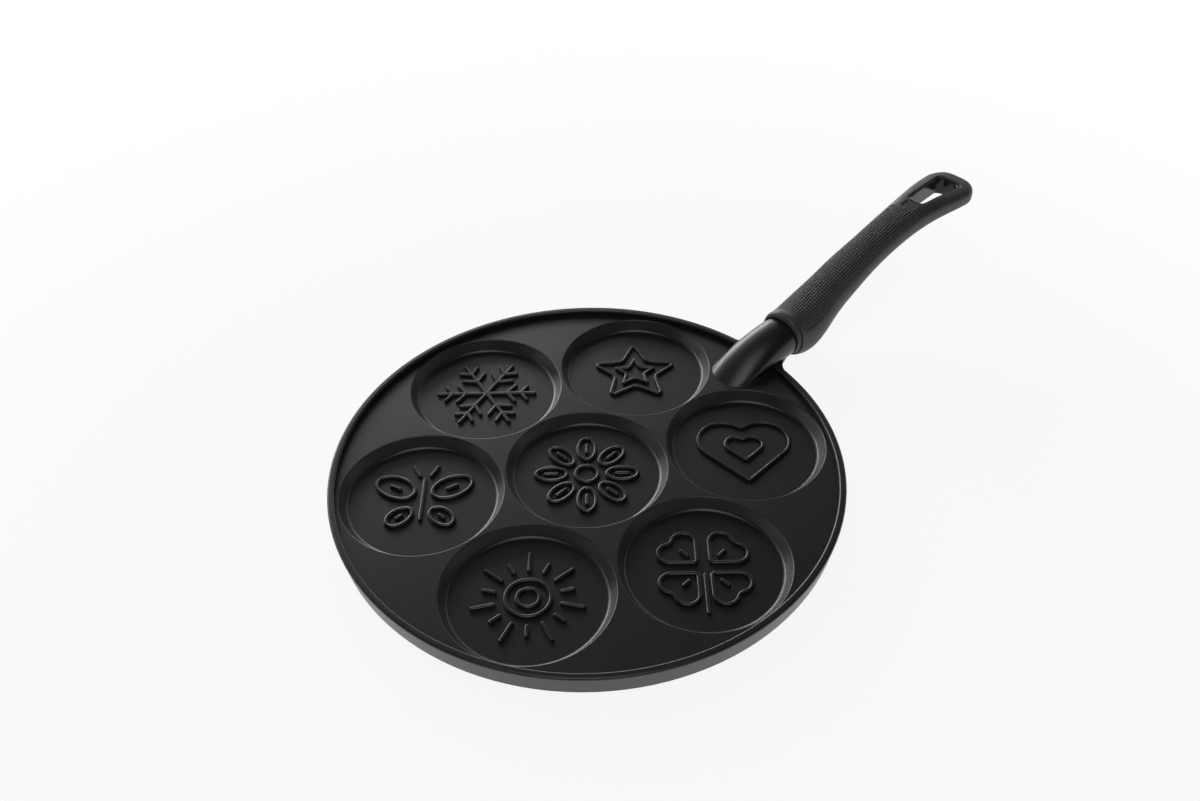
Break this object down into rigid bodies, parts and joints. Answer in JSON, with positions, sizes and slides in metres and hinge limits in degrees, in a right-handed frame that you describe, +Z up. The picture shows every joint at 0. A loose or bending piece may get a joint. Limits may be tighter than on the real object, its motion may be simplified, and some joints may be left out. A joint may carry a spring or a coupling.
{
  "type": "pancake pan",
  "caption": "Round cast non-stick pancake pan with round wells that have raised figures on their floors, and a raised soft-grip handle with a hanging slot.",
  "frame": {"origin": "middle of the round pan, on the flat surface that it stands on", "axes": "+X from the middle of the pan out along the handle, +Z up, +Y to the left seen from the pan's middle looking along the handle"},
  "size_m": [0.4447, 0.2662, 0.0576],
  "materials": {
    "nonstick_casting": "satin",
    "core_plastic": "gloss",
    "soft_skin": "matte",
    "screw_steel": "satin"
  },
  "bodies": {
    "root": {"pan_casting": "nonstick_casting", "handle_core": "core_plastic", "grip_skin": "soft_skin", "handle_screw": "screw_steel", "lock_washer": "screw_steel"}
  },
  "joints": []
}
